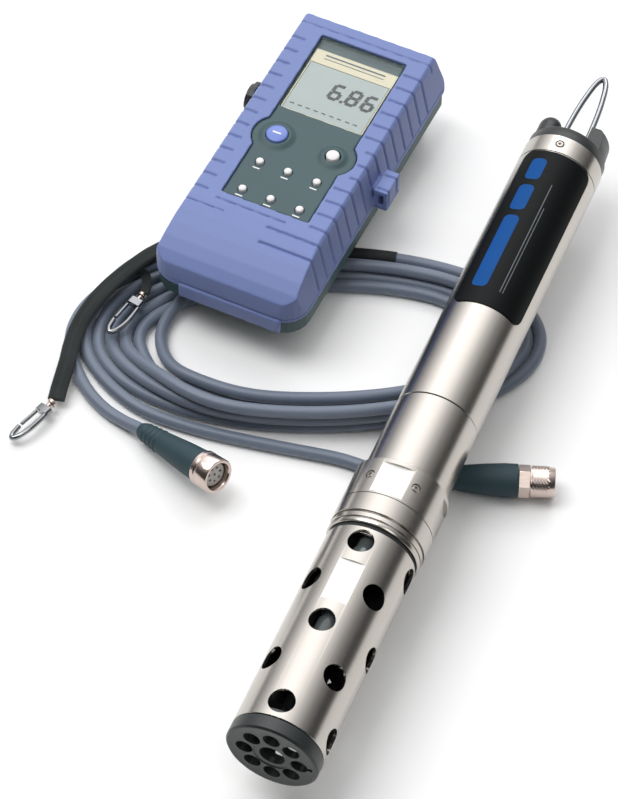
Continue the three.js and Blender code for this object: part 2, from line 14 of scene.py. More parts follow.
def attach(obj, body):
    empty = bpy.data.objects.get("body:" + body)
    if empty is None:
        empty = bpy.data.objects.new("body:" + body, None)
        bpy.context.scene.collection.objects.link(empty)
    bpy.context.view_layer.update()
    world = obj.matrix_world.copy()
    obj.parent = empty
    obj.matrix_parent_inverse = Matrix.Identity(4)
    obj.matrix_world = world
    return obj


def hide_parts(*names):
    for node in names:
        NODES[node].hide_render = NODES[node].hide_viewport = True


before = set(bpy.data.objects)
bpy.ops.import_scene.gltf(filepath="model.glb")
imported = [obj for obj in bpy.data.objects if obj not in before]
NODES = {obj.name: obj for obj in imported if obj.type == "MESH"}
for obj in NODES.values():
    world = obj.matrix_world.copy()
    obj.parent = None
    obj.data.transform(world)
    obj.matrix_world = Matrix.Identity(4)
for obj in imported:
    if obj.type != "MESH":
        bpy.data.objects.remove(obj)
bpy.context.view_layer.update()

# ---------------------------------------------------------------- frame and camera

ORIGIN_MM = np.array([-90.775, 227.625, 0.0])


def row(point_mm):
    """A point given in the model's own millimetres, in the row frame in metres."""
    return tuple((np.array(point_mm, float) - ORIGIN_MM) / 1000)


def placed(name, data):
    """A new object that shows the data, linked to the scene."""
    made = bpy.data.objects.new(name, data)
    bpy.context.scene.collection.objects.link(made)
    return made


def make_camera():
    """The viewing angle: from the front right, looking down at 53.6 degrees, with a long lens."""
    data = bpy.data.cameras.new("camera")
    data.lens = 150.1
    data.sensor_width = 36
    data.clip_start, data.clip_end = 0.1, 20
    camera = placed("camera", data)
    camera.location = row((318.1, -712.8, 1378.65))
    azimuth, elevation = math.radians(22.77), math.radians(53.59)
    away = Vector((-math.sin(azimuth) * math.cos(elevation), math.cos(azimuth) * math.cos(elevation),
                   -math.sin(elevation)))
    camera.rotation_mode = "QUATERNION"
    camera.rotation_quaternion = away.to_track_quat("-Z", "Y")
    bpy.context.scene.camera = camera


make_camera()

# ---------------------------------------------------------------- the cable

CABLE_MM = 6.7
PITCH_MM = 6.84  # from one strand of the coil to the next
CABLE_STEP_MM = 1.5
COIL_CENTRE_MM = np.array([-87.8, 259.6])
COIL_YAW = math.radians(22.8)
OUTER_MM = (119.2, 56.6)  # semi-axes of the outermost strand's centreline
INNER_MM = (85.0, 46.3)


def smooth(x):
    x = min(1.0, max(0.0, x))
    return x * x * (3 - 2 * x)


def mix(a, b, t):
    return a + (b - a) * t


def coil_point(theta, inward, up):
    """A centreline point: theta in degrees round the coil, inward and up counted in strand pitches."""
    c, s = math.cos(math.radians(theta)), math.sin(math.radians(theta))
    outer = np.array([OUTER_MM[0] * c, OUTER_MM[1] * s])
    inner = np.array([INNER_MM[0] * c, INNER_MM[1] * s])
    normal = np.array([OUTER_MM[1] * c, OUTER_MM[0] * s])
    normal /= np.linalg.norm(normal)
    width = float((outer - inner) @ normal)
    a, b = outer + (inner - outer) * (inward * PITCH_MM / width)
    return coil_to_world(a, b, CABLE_MM / 2 + up * PITCH_MM)


def coil_to_world(a, b, z):
    c, s = math.cos(COIL_YAW), math.sin(COIL_YAW)
    return [COIL_CENTRE_MM[0] + a * c - b * s, COIL_CENTRE_MM[1] + a * s + b * c, z + 0.05]


def columns(tilt, spread_min, place):
    """Rows 0 to 2 stand as one column, 3 and 4 as a second, both tilted up from flat by the same angle."""
    t = math.radians(tilt)
    spread = max(spread_min, min(3.0, 1.03 / max(0.05, math.sin(t))))
    foot, step = (0.0, place) if place < 3 else (spread, place - 3)
    return foot + step * math.cos(t), step * math.sin(t)


LOOSE_BACK = [(-0.05, 0), (1.1, 0), (1.65, 0.87), (2.2, 0), (3.2, 0)]
FLAT_KEYS = {  # rows 1 to 4 and the loose end row 0, flat under the meter
    462: (-1.05, 0.0, 1.05, 2.1, 3.15),
    495: (-1.05, 0.0, 1.05, 2.1, 3.15),
    510: (-1.05, 0.3, 1.45, 2.6, 3.75),
    525: (-1.02, 0.72, 1.8, 2.85, 3.9),
    540: (-1.0, 1.0, 2.0, 3.0, 4.0),
}


def nestled(low, high):
    """Place of a strand that lies in the groove between two others."""
    return (low + high) / 2, math.sqrt(max(0.0, 1.02 - ((high - low) / 2) ** 2))


def flat_row(place, theta):
    angles = sorted(FLAT_KEYS)
    return float(np.interp(theta, angles, [FLAT_KEYS[t][place] for t in angles]))


def strand(place, theta):
    """Inward and upward places, in pitches, of row 0 (outermost) to 4 at an angle from 180 to 540 degrees."""
    if theta <= 300:
        turn = smooth((theta - 174) / 80)
        h, z = columns(95 * turn, 1.95, place)
        gap = 0.4 * (1 - smooth((theta - 180) / 60)) if place == 4 else 0
        return h + 1 - turn + gap, z
    if theta <= 368:
        return columns(95 * (1 - smooth((theta - 305) / 45)), 1.95, place)
    loose = LOOSE_BACK[place]
    if theta <= 446:
        t = smooth((theta - 368) / 32)
        return mix(place, loose[0], t), loose[1] * t
    t = smooth((theta - 446) / 18)
    if place == 2:
        low = mix(LOOSE_BACK[1][0], flat_row(1, theta), t)
        high = mix(LOOSE_BACK[3][0], flat_row(3, theta), t)
        return nestled(low, high) if high - low < 2 else ((low + high) / 2, 0.0)
    return mix(loose[0], flat_row(place, theta), t), 0.0


PLUG_ROUTE = [(-1.4, 196.4, 9.2), (-9, 194, 8), (-18, 192.8, 5.6), (-28, 193.4, 3.9), (-40.7, 194.9, 3.4),
              (-55.8, 192.5, 3.4), (-74.8, 189.3, 3.4), (-97.4, 185.6, 3.4), (-113, 183.6, 3.4),
              (-127, 182.6, 3.4)]
SOCKET_ROUTE = [(-144.9, 169.7, 6.8), (-152, 171.6, 4.9), (-160, 173.2, 3.6), (-168.3, 175.9, 3.4),
                (-181.2, 182.8, 3.4), (-191.6, 192.4, 3.4), (-199.8, 202.2, 3.4), (-204.9, 211.2, 3.4),
                (-207, 220.4, 3.4), (-206.9, 230, 3.4), (-204.8, 239.4, 3.4)]
# Under the meter the cable lies on the flat turns and folds back in one loop: coil axes and height.
FOLD_CENTRE_MM = (-46.0, 51.5)
FOLD_RADIUS_MM = 17.5
FOLD_EXIT_MM = [(-60, 30.8, 9), (-68, 24.6, 6.6), (-75, 16, 4.4), (-79.4, 5.5, 3.4), (-80, -5.5, 3.4)]


def resample(points, step):
    """A smooth curve through the points, as points a fixed step apart."""
    p = np.array(points, float)
    knots = np.concatenate([[0], np.cumsum(np.sqrt(np.linalg.norm(np.diff(p, axis=0), axis=1)))])
    padded = np.vstack([2 * p[0] - p[1], p, 2 * p[-1] - p[-2]])
    times = np.concatenate([[knots[0] - (knots[1] - knots[0])], knots, [2 * knots[-1] - knots[-2]]])
    fine = []
    for i in range(1, len(padded) - 2):
        t0, t1, t2, t3 = times[i - 1:i + 3]
        p0, p1, p2, p3 = padded[i - 1:i + 3]
        for t in np.linspace(t1, t2, 12, endpoint=False):
            a1 = (t1 - t) / (t1 - t0) * p0 + (t - t0) / (t1 - t0) * p1
            a2 = (t2 - t) / (t2 - t1) * p1 + (t - t1) / (t2 - t1) * p2
            a3 = (t3 - t) / (t3 - t2) * p2 + (t - t2) / (t3 - t2) * p3
            b1 = (t2 - t) / (t2 - t0) * a1 + (t - t0) / (t2 - t0) * a2
            b2 = (t3 - t) / (t3 - t1) * a2 + (t - t1) / (t3 - t1) * a3
            fine.append((t2 - t) / (t2 - t1) * b1 + (t - t1) / (t2 - t1) * b2)
    fine = np.array([*fine, p[-1]])
    along = np.concatenate([[0], np.cumsum(np.linalg.norm(np.diff(fine, axis=0), axis=1))])
    places = np.linspace(0, along[-1], max(2, int(along[-1] / step)))
    return np.stack([np.interp(places, along, fine[:, k]) for k in range(3)], axis=1)


def cable_route():
    """Centreline in millimetres from the plug round the coil to the socket end."""
    points = list(PLUG_ROUTE)
    for theta, inward in [(229, -1.0), (219, -0.62), (209, -0.3), (199, -0.1), (189, 0)]:
        points.append(coil_point(theta, inward, 0))
    for theta in (179, 172, 165, 158, 151):
        points.append(coil_point(theta, *nestled(flat_row(0, theta + 360), flat_row(1, theta + 360))))
    points += [coil_point(143, -0.9, 1), coil_point(135, -1.2, 0.95)]
    for turn in range(115, -116, -23):
        a = FOLD_CENTRE_MM[0] + FOLD_RADIUS_MM * math.cos(math.radians(turn))
        b = FOLD_CENTRE_MM[1] + FOLD_RADIUS_MM * math.sin(math.radians(turn))
        points.append(coil_to_world(a, b, 10.2))
    points += [coil_to_world(*place) for place in FOLD_EXIT_MM]
    for turn in range(5):
        place = 4 - turn
        end = 510 if turn == 4 else 540
        start = 198 if turn == 0 else 180
        points += [coil_point(theta, *strand(place, theta)) for theta in range(start, end, 6)]
    return points + SOCKET_ROUTE[::-1]


def settled(line, reach):
    """The line with its small steps evened out; its ends stay."""
    kernel = np.hanning(reach * 2 + 3)[1:-1]
    kernel /= kernel.sum()
    padded = np.vstack([np.repeat(line[:1], reach, 0), line, np.repeat(line[-1:], reach, 0)])
    out = np.stack([np.convolve(padded[:, k], kernel, "valid") for k in range(3)], axis=1)
    out[0], out[-1] = line[0], line[-1]
    return out


CABLE_LINE_MM = settled(resample(cable_route(), CABLE_STEP_MM), 13)
CABLE_LINE = [row(p) for p in CABLE_LINE_MM]

# ---------------------------------------------------------------- materials


def linear(colour):
    """A colour from 0 to 255 in the usual display scale, as the linear values a shader takes."""
    parts = [c / 255 for c in colour]
    return tuple(p / 12.92 if p <= 0.04045 else ((p + 0.055) / 1.055) ** 2.4 for p in parts) + (1.0,)


def shade(colour, factor):
    return tuple(min(1.0, c * factor) for c in colour[:3]) + (1.0,)


def material(name, colour, roughness, metallic=0.0, grain=(1500, 1500, 1500), bump_mm=0.03, patch=45,
             mottle=0.08, wear=0.0, **sockets):
    """A procedural finish: fine grain in bump and roughness, broad colour mottling, and paler worn edges."""
    made = bpy.data.materials.new(name)
    made.use_nodes = True
    nodes, links = made.node_tree.nodes, made.node_tree.links
    shader = nodes["Principled BSDF"]
    base = linear(colour)
    where = nodes.new("ShaderNodeTexCoord")
    stretch = nodes.new("ShaderNodeMapping")
    stretch.inputs["Scale"].default_value = grain
    links.new(where.outputs["Object"], stretch.inputs["Vector"])
    fine = nodes.new("ShaderNodeTexNoise")
    fine.inputs["Scale"].default_value = 1.0
    fine.inputs["Detail"].default_value = 4.0
    links.new(stretch.outputs["Vector"], fine.inputs["Vector"])
    broad = nodes.new("ShaderNodeTexNoise")
    broad.inputs["Scale"].default_value = patch
    broad.inputs["Detail"].default_value = 3.0
    links.new(where.outputs["Object"], broad.inputs["Vector"])
    tint = nodes.new("ShaderNodeMix")
    tint.data_type = "RGBA"
    tint.inputs["A"].default_value = shade(base, 1 - mottle)
    tint.inputs["B"].default_value = shade(base, 1 + mottle)
    links.new(broad.outputs["Fac"], tint.inputs["Factor"])
    result = tint.outputs["Result"]
    if wear > 0:
        geometry = nodes.new("ShaderNodeNewGeometry")
        edge = nodes.new("ShaderNodeMapRange")
        edge.inputs["From Min"].default_value = 0.52
        edge.inputs["From Max"].default_value = 0.6
        edge.inputs["To Max"].default_value = wear
        links.new(geometry.outputs["Pointiness"], edge.inputs["Value"])
        worn = nodes.new("ShaderNodeMix")
        worn.data_type = "RGBA"
        worn.inputs["B"].default_value = shade(base, 1.6)
        links.new(edge.outputs["Result"], worn.inputs["Factor"])
        links.new(result, worn.inputs["A"])
        result = worn.outputs["Result"]
    links.new(result, shader.inputs["Base Color"])
    gloss = nodes.new("ShaderNodeMapRange")
    gloss.inputs["To Min"].default_value = roughness * 0.8
    gloss.inputs["To Max"].default_value = min(1.0, roughness * 1.25)
    links.new(fine.outputs["Fac"], gloss.inputs["Value"])
    links.new(gloss.outputs["Result"], shader.inputs["Roughness"])
    bump = nodes.new("ShaderNodeBump")
    bump.inputs["Strength"].default_value = 0.6
    bump.inputs["Distance"].default_value = bump_mm / 1000
    links.new(fine.outputs["Fac"], bump.inputs["Height"])
    links.new(bump.outputs["Normal"], shader.inputs["Normal"])
    shader.inputs["Metallic"].default_value = metallic
    for socket, value in sockets.items():
        shader.inputs[socket.replace("_", " ")].default_value = value
    return made


def add_weave(made, along, across):
    """Woven webbing: two crossed ribs in the bump, from the strap's own UVs."""
    nodes, links = made.node_tree.nodes, made.node_tree.links
    shader = nodes["Principled BSDF"]
    uv = nodes.new("ShaderNodeUVMap")
    stretch = nodes.new("ShaderNodeMapping")
    stretch.inputs["Scale"].default_value = (across, along, 1)
    links.new(uv.outputs["UV"], stretch.inputs["Vector"])
    checks = []
    for direction in ("X", "Y"):
        wave = nodes.new("ShaderNodeTexWave")
        wave.bands_direction = direction
        wave.inputs["Scale"].default_value = 1.0
        wave.inputs["Distortion"].default_value = 0.6
        wave.inputs["Detail"].default_value = 1.0
        links.new(stretch.outputs["Vector"], wave.inputs["Vector"])
        checks.append(wave.outputs["Fac"])
    crossed = nodes.new("ShaderNodeMath")
    crossed.operation = "MULTIPLY"
    links.new(checks[0], crossed.inputs[0])
    links.new(checks[1], crossed.inputs[1])
    bump = nodes.new("ShaderNodeBump")
    bump.inputs["Strength"].default_value = 0.9
    bump.inputs["Distance"].default_value = 0.0003
    links.new(crossed.outputs["Value"], bump.inputs["Height"])
    links.new(bump.outputs["Normal"], shader.inputs["Normal"])


ROUND_GRAIN = (40, 5200, 40)  # brushing that runs round the sonde
BRUSHED = material("brushed_steel", (188, 183, 176), 0.22, 1.0, ROUND_GRAIN, 0.003, 22, 0.05, 0.1)
# Milled finish of the flats, paler and less metallic than the brushed steel: a painted highlight on the flats
# that face up.
MILLED_PAINTED_HIGHLIGHT = material("milled_steel_painted_highlight", (222, 221, 218), 0.42, 0.35, (700, 2400, 700), 0.004, 40, 0.05, 0.05)
SATIN = material("satin_steel", (176, 170, 162), 0.34, 1.0, (700, 5200, 700), 0.006, 30, 0.08, 0.1)
CHROME = material("chrome", (142, 144, 146), 0.14, 1.0, (2600, 2600, 2600), 0.01, 60, 0.05, 0.2)
NICKEL = material("nickel", (200, 184, 176), 0.2, 1.0, (900, 4200, 900), 0.012, 60, 0.08, 0.4)
# Dark grey: painted shade on the guard tube's inside wall, and the dark colour of the sensor bodies behind
# the holes.
SENSORS_AND_PAINTED_SHADE = material("sensors_and_guard_painted_shade", (38, 38, 38), 0.6, 0.6, (700, 700, 700), 0.03, 60, 0.2)
BLACK = material("black_plastic", (30, 34, 34), 0.38, 0.0, (2400, 2400, 2400), 0.03, 80, 0.2, 0.35)
RUBBER = material("black_rubber", (22, 25, 26), 0.7, 0.0, (1900, 1900, 1900), 0.05, 60, 0.25, 0.2)
BOOT = material("blue_boot", (108, 124, 176), 0.55, 0.0, (3200, 3200, 3200), 0.035, 28, 0.05, 0.12,
                Sheen_Weight=0.15)
BLUE_BUTTON = material("blue_button", (104, 126, 196), 0.35, 0.0, (3200, 3200, 3200), 0.02, 200, 0.06, 0.2)
CASE = material("case_green", (50, 76, 80), 0.5, 0.0, (3800, 3800, 3800), 0.05, 60, 0.1, 0.2)
WHITE = material("white_button", (226, 222, 222), 0.36, 0.0, (2600, 2600, 2600), 0.02, 200, 0.05, 0.1)
PALE = material("socket_insert", (176, 172, 165), 0.4, 0.0, (2600, 2600, 2600), 0.03, 200, 0.1, 0.1)
CREAM = material("cream_strip", (216, 208, 178), 0.42, 0.0, (2600, 2600, 2600), 0.02, 120, 0.04)
SCREEN = material("screen_grey", (158, 170, 168), 0.3, 0.0, (5200, 5200, 5200), 0.01, 50, 0.04)
INK = material("display_ink", (14, 20, 20), 0.5, 0.0, (5200, 5200, 5200), 0.01, 50, 0.1)
PRINT = material("label_print", (3, 72, 138), 0.5, 0.0, (2600, 2600, 2600), 0.01, 60, 0.1, 0.0,
                 Specular_IOR_Level=0.12)
LABEL = material("label_black", (6, 8, 9), 0.42, 0.0, (600, 2400, 600), 0.02, 45, 0.2, 0.1,
                 Specular_IOR_Level=0.12)
MARK = material("label_marks", (92, 100, 104), 0.4, 0.0, (2600, 2600, 2600), 0.01, 60, 0.1)
BOARD = material("board_green", (44, 106, 66), 0.45, 0.0, (1200, 1200, 1200), 0.05, 200, 0.2)
CELL = material("cell_wrap", (150, 128, 66), 0.35, 0.5, (400, 2400, 400), 0.02, 90, 0.12)
CABLE = material("cable_grey", (100, 110, 126), 0.42, 0.0, (2200, 2200, 2200), 0.04, 30, 0.1, 0.0,
                 Sheen_Weight=0.2)
STRAP = material("strap_black", (22, 30, 29), 0.8, 0.0, (2200, 2200, 2200), 0.05, 90, 0.2, 0.0,
                 Sheen_Weight=0.1)
TEAL = material("boot_green", (30, 56, 64), 0.62, 0.0, (2200, 2200, 2200), 0.05, 60, 0.15, 0.25)
GLASS = material("clear_window", (200, 208, 206), 0.06, 0.0, (2600, 2600, 2600), 0.002, 30, 0.02, 0.0,
                 Alpha=0.07)
SENSOR_GLASS = material("sensor_glass", (70, 76, 76), 0.12, 0.0, (2600, 2600, 2600), 0.01, 90, 0.05, 0.0)
add_weave(STRAP, 700, 7)

# ---------------------------------------------------------------- shape helpers, in the model's millimetres


def aimed(start, end):
    """The place of a group whose own +Y points from start to end."""
    direction = (Vector(end) - Vector(start)).normalized()
    turn = Vector((0, 1, 0)).rotation_difference(direction)
    return Matrix.Translation(start) @ turn.to_matrix().to_4x4()


COIL_HEIGHT = 20.4
BODY_RADIUS = 21.75
AXIS_HEIGHT = COIL_HEIGHT + 0.3 + BODY_RADIUS
SONDE = Matrix.Translation((0, 0, AXIS_HEIGHT))
METER = Matrix.Translation((-127.7, 327, COIL_HEIGHT + 0.4)) @ Matrix.Rotation(math.radians(-3), 4, "Z")
RECEPTACLE = SONDE @ Matrix.Translation((-14.4, 0, 0))
SOCKET_END = aimed((-144.3, 169.4, 7), (-90.6, 147.8, 22))
PLUG_END = aimed((-0.8, 196.6, 9.3), (61.5, 218.5, 9.3))
HOOK_A = aimed((-193.6, 168.2, 6.6), (-204.3, 139, 5))
HOOK_B = aimed((-178.1, 245.7, 12), (-184.2, 215.4, 12))
TO_ROW = Matrix.Scale(0.001, 4) @ Matrix.Translation(Vector(-ORIGIN_MM))


def turned(profile, segments=96):
    """A shape turned about +Y from [radius, station] pairs; a closed profile makes a ring."""
    bm = bmesh.new()
    rings = []
    for radius, station in profile:
        if radius < 1e-6:
            rings.append([bm.verts.new((0, station, 0))])
            continue
        angles = [2 * math.pi * i / segments for i in range(segments)]
        rings.append([bm.verts.new((radius * math.sin(a), station, radius * math.cos(a))) for a in angles])
    for low, high in zip(rings, rings[1:]):
        for i in range(segments):
            j = (i + 1) % segments
            corners = [low[i % len(low)], low[j % len(low)], high[j % len(high)], high[i % len(high)]]
            unique = list(dict.fromkeys(corners))
            if len(unique) > 2:
                bm.faces.new(unique)
    bmesh.ops.remove_doubles(bm, verts=bm.verts, dist=1e-5)
    bmesh.ops.recalc_face_normals(bm, faces=bm.faces)
    return bm


def block(x, y, z):
    bm = bmesh.new()
    bmesh.ops.create_cube(bm, size=1)
    for v in bm.verts:
        v.co = [mix(low, high, 0.5 + c) for (low, high), c in zip((x, y, z), v.co)]
    return bm


def moved(bm, matrix):
    bm.transform(matrix)
    return bm


def gathered(parts):
    """Several closed shapes as one bmesh."""
    whole = bmesh.new()
    for part in parts:
        mesh = bpy.data.meshes.new("part")
        part.to_mesh(mesh)
        part.free()
        whole.from_mesh(mesh)
        bpy.data.meshes.remove(mesh)
    return whole


def radial(radius, inner, outer, station, angle, segments=40):
    """A round bar that points outwards, at a station and an angle in degrees round the sonde."""
    bar = turned([[0, inner], [radius, inner], [radius, outer], [0, outer]], segments)
    out = Matrix.Rotation(math.pi / 2, 4, "X") @ Matrix.Rotation(math.radians(angle - 90), 4, "Z")
    return moved(bar, Matrix.Translation((0, station, 0)) @ out)


def scratch(bm):
    mesh = bpy.data.meshes.new("scratch")
    bm.to_mesh(mesh)
    bm.free()
    return placed("scratch", mesh)


def baked(piece):
    """The piece's shape with its modifiers, as a bmesh; the piece itself is removed."""
    evaluated = piece.evaluated_get(bpy.context.evaluated_depsgraph_get())
    mesh = bpy.data.meshes.new_from_object(evaluated)
    bm = bmesh.new()
    bm.from_mesh(mesh)
    bpy.data.meshes.remove(mesh)
    bpy.data.objects.remove(piece)
    return bm


def combined(base, tools, operation="DIFFERENCE"):
    body, tool = scratch(base), scratch(gathered(tools))
    change = body.modifiers.new("change", "BOOLEAN")
    change.operation = operation
    change.solver = "EXACT"
    change.object = tool
    result = baked(body)
    bpy.data.objects.remove(tool)
    return result


def refinished(piece, look, is_chosen):
    """Gives another finish to the faces whose middle, in the row frame, is chosen."""
    piece.data.materials.append(look)
    for face in piece.data.polygons:
        if is_chosen(face.center):
            face.material_index = len(piece.data.materials) - 1


def finished(name, bm, place, look, body, replaces=(), soften=0.25, crease=38):
    """Turns a shape in millimetres into a named piece that rides on a body, with softened edges."""
    bm.transform(TO_ROW @ place)
    mesh = bpy.data.meshes.new(name)
    bm.to_mesh(mesh)
    bm.free()
    mesh.shade_smooth()
    mesh.set_sharp_from_angle(angle=math.radians(crease))
    piece = placed(name, mesh)
    mesh.materials.append(look)
    if soften:
        bevel = piece.modifiers.new("soft_edges", "BEVEL")
        bevel.width = soften / 1000
        bevel.segments = 3
        bevel.limit_method = "ANGLE"
        bevel.angle_limit = math.radians(crease)
        bevel.use_clamp_overlap = True
        bevel.harden_normals = False
    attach(piece, body)
    if replaces:
        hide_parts(*replaces)
    return piece


def swept(points, section, up=(0, 0, 1)):
    """A closed bar whose section, [side, up] pairs, follows the points; its UVs run across and along."""
    bm = bmesh.new()
    uv = bm.loops.layers.uv.new("weave")
    line = [Vector(p) for p in points]
    travelled, rings, lengths = 0.0, [], []
    for i, p in enumerate(line):
        ahead = (line[min(i + 1, len(line) - 1)] - line[max(i - 1, 0)]).normalized()
        side = ahead.cross(Vector(up)).normalized()
        top = side.cross(ahead).normalized()
        travelled += (p - line[i - 1]).length if i else 0
        lengths.append(travelled)
        rings.append([bm.verts.new(p + side * a + top * b) for a, b in section])
    count = len(section)
    for i in range(len(rings) - 1):
        for k in range(count):
            m = (k + 1) % count
            face = bm.faces.new((rings[i][k], rings[i][m], rings[i + 1][m], rings[i + 1][k]))
            for loop, (u, v) in zip(face.loops, [(k, i), (k + 1, i), (k + 1, i + 1), (k, i + 1)]):
                loop[uv].uv = (u / count, lengths[v] / 1000)
    bm.faces.new(rings[0])
    bm.faces.new(rings[-1][::-1])
    bmesh.ops.recalc_face_normals(bm, faces=bm.faces)
    return bm


def rounded(width, height, corner, steps=4):
    """A rounded rectangle's [side, up] pairs."""
    points = []
    for cx, cy, start in [(1, 1, 0), (-1, 1, 90), (-1, -1, 180), (1, -1, 270)]:
        for i in range(steps + 1):
            a = math.radians(start + 90 * i / steps)
            points.append((cx * (width / 2 - corner) + corner * math.cos(a),
                           cy * (height / 2 - corner) + corner * math.sin(a)))
    return points


def circle(radius, count=20):
    return [(radius * math.cos(2 * math.pi * i / count), radius * math.sin(2 * math.pi * i / count))
            for i in range(count)]


# ---------------------------------------------------------------- the cable and its two ends


SLEEVE_END_MM = (-66.8, 323.0)
SLEEVE_LENGTH_MM = 45


def make_cable():
    curve = bpy.data.curves.new("signal_cable", "CURVE")
    curve.dimensions = "3D"
    spline = curve.splines.new("POLY")
    spline.points.add(len(CABLE_LINE) - 1)
    for point, place in zip(spline.points, CABLE_LINE):
        point.co = (*place, 1)
    curve.bevel_depth = CABLE_MM / 2000
    curve.bevel_resolution = 5
    curve.use_fill_caps = True
    curve.materials.append(CABLE)
    piece = placed("signal_cable", curve)
    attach(piece, "sonde")
    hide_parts("cable_coil", "cable_socket_run", "cable_plug_run")
    return piece


def strain_boot(name, place, profile, replaced):
    """A tapered boot with ribs at the cable's side."""
    fine = []
    for (r0, y0), (r1, y1) in zip(profile, profile[1:]):
        steps = max(1, int(abs(y1 - y0) / 0.6))
        fine += [[mix(r0, r1, i / steps), mix(y0, y1, i / steps)] for i in range(steps)]
    fine.append(profile[-1])
    shaped = []
    for radius, station in fine:
        rib = 0.35 * math.cos((station - 4) * 2 * math.pi / 3.4) if 3 < station < 17 else 0
        shaped.append([max(0, radius - 0.35 + rib) if radius > 1 else radius, station])
    return finished(name, turned(shaped, 64), place, TEAL, "sonde", [replaced], 0)


def ring_of(shape, count, radius):
    """Copies of what shape() makes, evenly spaced on a circle round +Y."""
    placements = []
    for i in range(count):
        a = 2 * math.pi * i / count
        offset = (radius * math.cos(a), 0, radius * math.sin(a))
        placements.append(moved(shape(), Matrix.Translation(offset)))
    return placements


def make_socket_end():
    boot = strain_boot("socket_end_boot", SOCKET_END,
                       [[0, 0], [4.2, 0], [5, 2], [6.6, 18], [8.2, 34], [8.8, 44], [8.8, 46], [0, 46]],
                       "socket_boot")
    shell = turned([[7, 46.3], [9.3, 46.3], [9.3, 48.4], [8.9, 48.8], [8.9, 49.6], [9.3, 50], [9.3, 57.2],
                    [8.9, 57.8], [7.6, 57.8], [7.2, 57.2], [7, 56.4], [7, 46.3]])
    metal = finished("socket_end_shell", shell, SOCKET_END, NICKEL, "sonde", ["socket_shell"], 0.15)

    def hole():
        return turned([[0, 50], [0.75, 50], [0.75, 56], [0, 56]], 20)

    holes = [hole(), *ring_of(hole, 7, 3.8)]
    disc = turned([[0, 46.5], [6.5, 46.5], [6.5, 54.6], [6.1, 55], [0, 55]], 64)
    face = finished("socket_end_insert", combined(disc, holes), SOCKET_END, PALE, "sonde",
                    ["socket_insert"], 0)
    return [boot, metal, face]


def make_plug_end():
    boot = strain_boot("plug_end_boot", PLUG_END,
                       [[0, 0], [4.2, 0], [5, 2], [6.9, 17], [8.3, 30], [9, 40], [9, 46.5], [8.6, 47],
                        [0, 47]],
                       "plug_boot")
    hexagon = turned([[0, 47.3], [8.4, 47.3], [8.4, 53], [0, 53]], 6)
    core = turned([[0, 52], [6, 52], [6, 64], [5.2, 64], [5.2, 56], [0, 56]], 48)
    pins = ring_of(lambda: turned([[0, 55], [0.6, 55], [0.6, 61.4], [0.3, 62], [0, 62]], 16), 7, 3.4)
    body = finished("plug_end_body", gathered([hexagon, core, *pins]), PLUG_END, NICKEL, "sonde",
                    ["plug_body"], 0.2)
    ring = turned([[6.4, 53.4], [8.2, 53.4], *[[8.2, 53.8 + 0.35 * i] for i in range(25)], [7.6, 63],
                   [7.6, 65.2], [7.2, 65.6], [6.4, 65.6], [6.4, 53.4]], 144)
    for v in ring.verts:
        radius = math.hypot(v.co.x, v.co.z)
        if radius > 8.1 and 54 < v.co.y < 62:
            turn = math.atan2(v.co.x, v.co.z) * 24
            along = (v.co.y - 54) * 2 * math.pi / 1.5
            depth = 0.16 * (2 + math.cos(turn + along) + math.cos(turn - along)) / 2
            v.co.x *= (radius - 0.32 + depth) / radius
            v.co.z *= (radius - 0.32 + depth) / radius
    knurl = finished("plug_end_ring", ring, PLUG_END, NICKEL, "coupling_ring",
                     ["plug_coupling_ring"], 0, 60)
    return [boot, body, knurl]


def make_sleeve():
    """The black sleeve slipped over the loose strand behind the meter."""
    line = CABLE_LINE_MM
    towards = np.array(SLEEVE_END_MM)
    nearest = [i for i in range(len(line)) if line[i][2] < 5 and np.linalg.norm(line[i][:2] - towards) < 14]
    last = min(nearest, key=lambda i: np.linalg.norm(line[i][:2] - towards))
    points = line[last:last + int(SLEEVE_LENGTH_MM / CABLE_STEP_MM)]
    sleeve = swept([tuple(p) for p in points], circle(CABLE_MM / 2 + 0.55, 28))
    return finished("cable_sleeve", sleeve, Matrix.Identity(4), RUBBER, "sonde", (), 0)


cable_piece = make_cable()
end_pieces = [make_sleeve(), *make_socket_end(), *make_plug_end()]

# ---------------------------------------------------------------- sonde

GUARD_TURN = 4.6  # turn of the guard's holes, in degrees
FLAT_ANGLE = 92.5  # the side of the sonde that its topmost flats face, in degrees
GUARD_FLAT_MM = 22.3  # each flat's distance from the sonde's axis
COLLAR_FLAT_MM = 23.2


def off_axis(c):
    """A point's distance in mm from the sonde's axis: across it, and upwards."""
    return c.x * 1000 + float(ORIGIN_MM[0]), c.z * 1000 - AXIS_HEIGHT


def on_flat(c, depth):
    """True for a face of the flat that points up, depth mm from the sonde's axis."""
    across, up = off_axis(c)
    turn = math.radians(FLAT_ANGLE)
    out = across * math.cos(turn) + up * math.sin(turn)
    along = up * math.cos(turn) - across * math.sin(turn)
    return abs(out - depth) < 0.05 and abs(along) < 6


